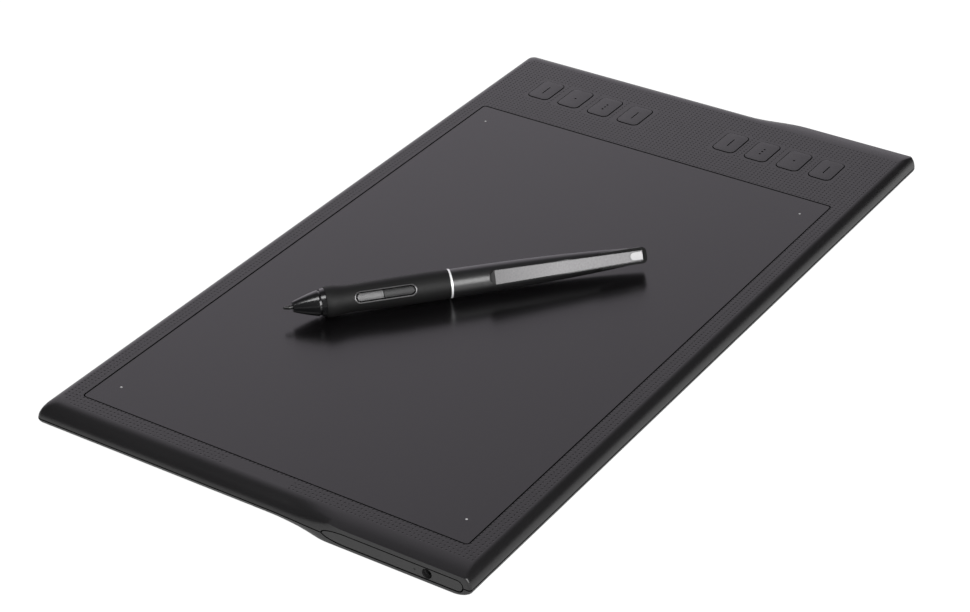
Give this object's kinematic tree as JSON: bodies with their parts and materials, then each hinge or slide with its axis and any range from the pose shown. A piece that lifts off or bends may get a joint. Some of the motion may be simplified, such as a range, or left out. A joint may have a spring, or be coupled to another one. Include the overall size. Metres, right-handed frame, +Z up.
{
  "type": "graphics tablet",
  "caption": "Slim drawing tablet with a smooth work surface, press keys at one end and a stylus with a clip and rocker buttons lying on it.",
  "frame": {"origin": "under the middle of the case, on the plane that its rubber feet rest on", "axes": "+X along the case away from the press keys, +Y across it towards the flared corners, +Z up"},
  "size_m": [0.389, 0.2186, 0.0256],
  "materials": {
    "case_plastic": "fine satin moulding with a dimpled deck",
    "insert_plastic": "smooth satin moulding",
    "sheet_film": "satin drawing film",
    "key_plastic": "smooth matt moulding",
    "light_lens": "smoked light pipe",
    "jack_plastic": "black moulding",
    "port_metal": "plain drawn shell",
    "switch_plastic": "black moulding",
    "board_laminate": "green lacquered laminate",
    "dome_metal": "pressed steel domes on black bases",
    "chip_plastic": "moulded packages",
    "flex_film": "amber film",
    "cell_pouch": "foil pouch",
    "screen_metal": "plain rolled sheet",
    "screw_metal": "black oxide",
    "foot_rubber": "matt",
    "nib_plastic": "smooth",
    "cone_plastic": "polished",
    "grip_rubber": "matt soft touch",
    "bezel_plastic": "polished",
    "button_plastic": "satin gloss",
    "ring_metal": "bright",
    "barrel_plastic": "satin gloss",
    "clip_paint": "fine metallic silver",
    "inlay_metal": "pale satin",
    "inner_plastic": "plain moulding",
    "coil_copper": "lacquered winding",
    "cell_steel": "plain can"
  },
  "bodies": {
    "tablet": {"top_cover": "case_plastic", "bottom_cover": "case_plastic", "work_surface": "sheet_film", "main_board": "board_laminate", "key_switches": "dome_metal", "controller_chips": "chip_plastic", "sensor_board": "board_laminate", "shield_plate": "screen_metal", "sensor_flex": "flex_film", "battery": "cell_pouch", "end_panel_right": "insert_plastic", "end_panel_left": "insert_plastic", "side_socket": "jack_plastic", "side_light": "light_lens", "usb_port": "port_metal", "switch_housing": "switch_plastic", "status_light": "light_lens", "case_screws": "screw_metal", "foot_1": "foot_rubber", "foot_2": "foot_rubber", "foot_3": "foot_rubber", "foot_4": "foot_rubber"},
    "key_1": {"key_1": "key_plastic"},
    "key_2": {"key_2": "key_plastic"},
    "key_3": {"key_3": "key_plastic"},
    "key_4": {"key_4": "key_plastic"},
    "key_5": {"key_5": "key_plastic"},
    "key_6": {"key_6": "key_plastic"},
    "key_7": {"key_7": "key_plastic"},
    "key_8": {"key_8": "key_plastic"},
    "power_slider": {"power_switch": "switch_plastic"},
    "stylus": {"nib_cone": "cone_plastic", "grip": "grip_rubber", "button_bezel": "bezel_plastic", "trim_ring": "ring_metal", "rear_barrel": "barrel_plastic", "tail_cap": "barrel_plastic", "inner_tube": "inner_plastic", "coil": "coil_copper", "pressure_sensor": "inner_plastic", "pen_board": "board_laminate", "pen_battery": "cell_steel"},
    "stylus_nib": {"nib": "nib_plastic"},
    "front_button": {"button_front": "button_plastic"},
    "rear_button": {"button_rear": "button_plastic"},
    "stylus_clip": {"clip": "clip_paint", "clip_inlay": "inlay_metal"}
  },
  "joints": [
    {"name": "key_1_press", "type": "slide", "parent": "tablet", "child": "key_1", "axis": [0, 0, -1], "range_m": [0, 0.0006], "stiffness_N_per_m": 400, "springref_m": -0.001},
    {"name": "key_2_press", "type": "slide", "parent": "tablet", "child": "key_2", "axis": [0, 0, -1], "range_m": [0, 0.0006], "stiffness_N_per_m": 400, "springref_m": -0.001},
    {"name": "key_3_press", "type": "slide", "parent": "tablet", "child": "key_3", "axis": [0, 0, -1], "range_m": [0, 0.0006], "stiffness_N_per_m": 400, "springref_m": -0.001},
    {"name": "key_4_press", "type": "slide", "parent": "tablet", "child": "key_4", "axis": [0, 0, -1], "range_m": [0, 0.0006], "stiffness_N_per_m": 400, "springref_m": -0.001},
    {"name": "key_5_press", "type": "slide", "parent": "tablet", "child": "key_5", "axis": [0, 0, -1], "range_m": [0, 0.0006], "stiffness_N_per_m": 400, "springref_m": -0.001},
    {"name": "key_6_press", "type": "slide", "parent": "tablet", "child": "key_6", "axis": [0, 0, -1], "range_m": [0, 0.0006], "stiffness_N_per_m": 400, "springref_m": -0.001},
    {"name": "key_7_press", "type": "slide", "parent": "tablet", "child": "key_7", "axis": [0, 0, -1], "range_m": [0, 0.0006], "stiffness_N_per_m": 400, "springref_m": -0.001},
    {"name": "key_8_press", "type": "slide", "parent": "tablet", "child": "key_8", "axis": [0, 0, -1], "range_m": [0, 0.0006], "stiffness_N_per_m": 400, "springref_m": -0.001},
    {"name": "power_slide", "type": "slide", "parent": "tablet", "child": "power_slider", "axis": [0, 1, 0], "range_m": [0, 0.0026]},
    {"name": "stylus_lift", "type": "slide", "parent": "tablet", "child": "stylus", "axis": [0, 0, 1], "range_m": [0, 0.06]},
    {"name": "nib_press", "type": "slide", "parent": "stylus", "child": "stylus_nib", "axis": [-0.7455, 0.6665, -0.0035], "range_m": [0, 0.0005], "stiffness_N_per_m": 400, "springref_m": -0.0005},
    {"name": "front_button_press", "type": "slide", "parent": "stylus", "child": "front_button", "axis": [-0.5788, -0.65, -0.4924], "range_m": [0, 0.0004], "stiffness_N_per_m": 400, "springref_m": -0.001},
    {"name": "rear_button_press", "type": "slide", "parent": "stylus", "child": "rear_button", "axis": [-0.5788, -0.65, -0.4924], "range_m": [0, 0.0004], "stiffness_N_per_m": 400, "springref_m": -0.001},
    {"name": "clip_flex", "type": "hinge", "parent": "stylus", "child": "stylus_clip", "pos_m": [-0.03311, 0.0509, 0.01958], "axis": [-0.3305, -0.3651, 0.8704], "range_deg": [0, 2.5], "stiffness_Nm_per_rad": 1, "springref_deg": -1.15}
  ]
}
